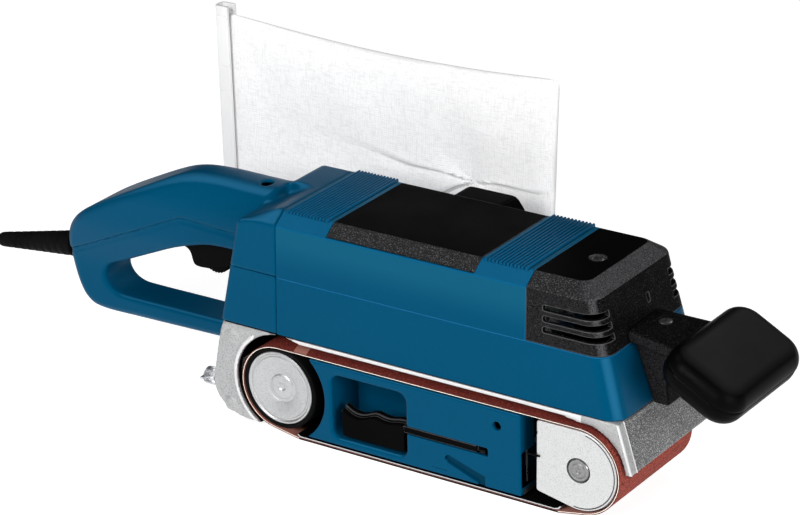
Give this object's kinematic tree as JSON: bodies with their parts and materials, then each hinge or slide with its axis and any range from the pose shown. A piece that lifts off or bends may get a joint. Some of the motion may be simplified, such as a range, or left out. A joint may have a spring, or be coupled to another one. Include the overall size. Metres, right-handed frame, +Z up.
{
  "type": "handheld belt sander",
  "caption": "Handheld belt sander with an open-sided sanding belt, tension lever, rear D handle, front knob and upright cloth dust bag.",
  "frame": {"origin": "centre of the flat sanding face of the belt", "axes": "+X towards the front roller and front knob, +Z up away from the work, -Y towards the open side of the belt"},
  "size_m": [0.5148, 0.144, 0.1885],
  "materials": {
    "blue_plastic": "satin moulded",
    "black_plastic": "fine textured",
    "white_plastic": "smooth moulded",
    "cast_aluminium": "blasted casting",
    "machined_aluminium": "turned",
    "steel": "ground",
    "brass": "turned",
    "rubber": "matt",
    "abrasive": "grit on cloth",
    "bag_cloth": "plain weave",
    "graphite": "matt"
  },
  "bodies": {
    "root": {"motor_housing": "blue_plastic", "top_panel": "black_plastic", "front_cap": "black_plastic", "rear_shell_upper": "blue_plastic", "rear_shell_lower": "blue_plastic", "base_casting": "cast_aluminium", "frame_plate": "blue_plastic", "sole_plate": "steel", "sole_pad": "graphite", "sanding_belt": "abrasive", "drum_bearing_inner": "steel", "drum_bearing_outer": "steel", "lever_pin": "steel", "tension_spring": "steel", "stator": "graphite", "motor_bearing_front": "steel", "motor_bearing_rear": "steel", "brush_holder_near": "brass", "brush_holder_far": "brass", "lay_bearing_near": "steel", "lay_bearing_far": "steel", "gear_case": "cast_aluminium", "drive_belt": "rubber", "drive_cover": "black_plastic", "cover_screw_rear": "steel", "cover_screw_front": "steel", "handle_bracket": "black_plastic", "front_knob": "black_plastic", "knob_screw": "steel", "switch_body": "graphite", "electronics_module": "graphite", "cable_boot": "rubber", "cap_screw": "steel", "handle_screw": "steel", "dust_port": "black_plastic"},
    "drum": {"drum_hub": "machined_aluminium", "drum_sleeve": "rubber", "drum_shaft": "steel", "large_pulley": "white_plastic"},
    "carriage": {"roller_carriage": "white_plastic", "roller_axle": "steel"},
    "roller": {"front_roller": "machined_aluminium", "roller_bearing_near": "steel", "roller_bearing_far": "steel"},
    "armature": {"armature_core": "steel", "commutator": "brass", "armature_shaft": "steel", "cooling_fan": "white_plastic", "bevel_pinion": "steel"},
    "cross_shaft": {"lay_shaft": "steel", "bevel_gear": "steel", "small_pulley": "white_plastic"},
    "lever": {"tension_lever": "black_plastic"},
    "trigger": {"trigger": "black_plastic"},
    "dial": {"speed_wheel": "black_plastic"},
    "lock": {"lock_button": "black_plastic"},
    "tracking": {"tracking_screw": "steel"},
    "bag": {"bag_collar": "black_plastic", "dust_bag": "bag_cloth"},
    "clip": {"bag_clip": "white_plastic"}
  },
  "joints": [
    {"name": "drum_spin", "type": "hinge", "parent": "root", "child": "drum", "pos_m": [-0.0955, 0, 0.0276], "axis": [0, 1, 0], "continuous": true},
    {"name": "cross_shaft_spin", "type": "hinge", "parent": "root", "child": "cross_shaft", "pos_m": [-0.098, 0.00975, 0.092], "axis": [0, 1, 0], "continuous": true},
    {"name": "armature_spin", "type": "hinge", "parent": "root", "child": "armature", "pos_m": [-0.098, 0.00975, 0.092], "axis": [1, 0, 0], "continuous": true},
    {"name": "lever_swing", "type": "hinge", "parent": "root", "child": "lever", "pos_m": [0.032, -0.0305, 0.0234], "axis": [0, 0, 1], "range_deg": [0, 90]},
    {"name": "carriage_slide", "type": "slide", "parent": "root", "child": "carriage", "axis": [-1, 0, 0], "range_m": [0, 0.004], "deforming": ["tension_spring"]},
    {"name": "roller_spin", "type": "hinge", "parent": "carriage", "child": "roller", "pos_m": [0.0955, 0, 0.0276], "axis": [0, 1, 0], "continuous": true},
    {"name": "trigger_press", "type": "hinge", "parent": "root", "child": "trigger", "pos_m": [-0.19, 0.00975, 0.084], "axis": [0, -1, 0], "range_deg": [0, 7], "stiffness_Nm_per_rad": 0.5, "springref_deg": -8.59},
    {"name": "dial_turn", "type": "hinge", "parent": "trigger", "child": "dial", "pos_m": [-0.169, 0.00975, 0.0735], "axis": [0, 1, 0], "range_deg": [-135, 135]},
    {"name": "lock_press", "type": "slide", "parent": "root", "child": "lock", "axis": [0, -1, 0], "range_m": [0, 0.0035], "stiffness_N_per_m": 200, "springref_m": -0.002},
    {"name": "tracking_turn", "type": "hinge", "parent": "root", "child": "tracking", "pos_m": [-0.146, -0.027, 0.0183], "axis": [1, 0, 0], "range_deg": [-180, 180]},
    {"name": "bag_pull", "type": "slide", "parent": "root", "child": "bag", "axis": [0, 1, 0], "range_m": [0, 0.025]},
    {"name": "clip_slide", "type": "slide", "parent": "bag", "child": "clip", "axis": [0, 0, 1], "range_m": [0, 0.12]}
  ],
  "couplings": [
    {"joint": "cross_shaft_spin", "follows": "drum_spin", "ratio": 3},
    {"joint": "armature_spin", "follows": "drum_spin", "ratio": -8.7},
    {"joint": "roller_spin", "follows": "drum_spin", "ratio": 1},
    {"joint": "carriage_slide", "follows": "lever_swing", "m_per_rad": 0.0025}
  ]
}
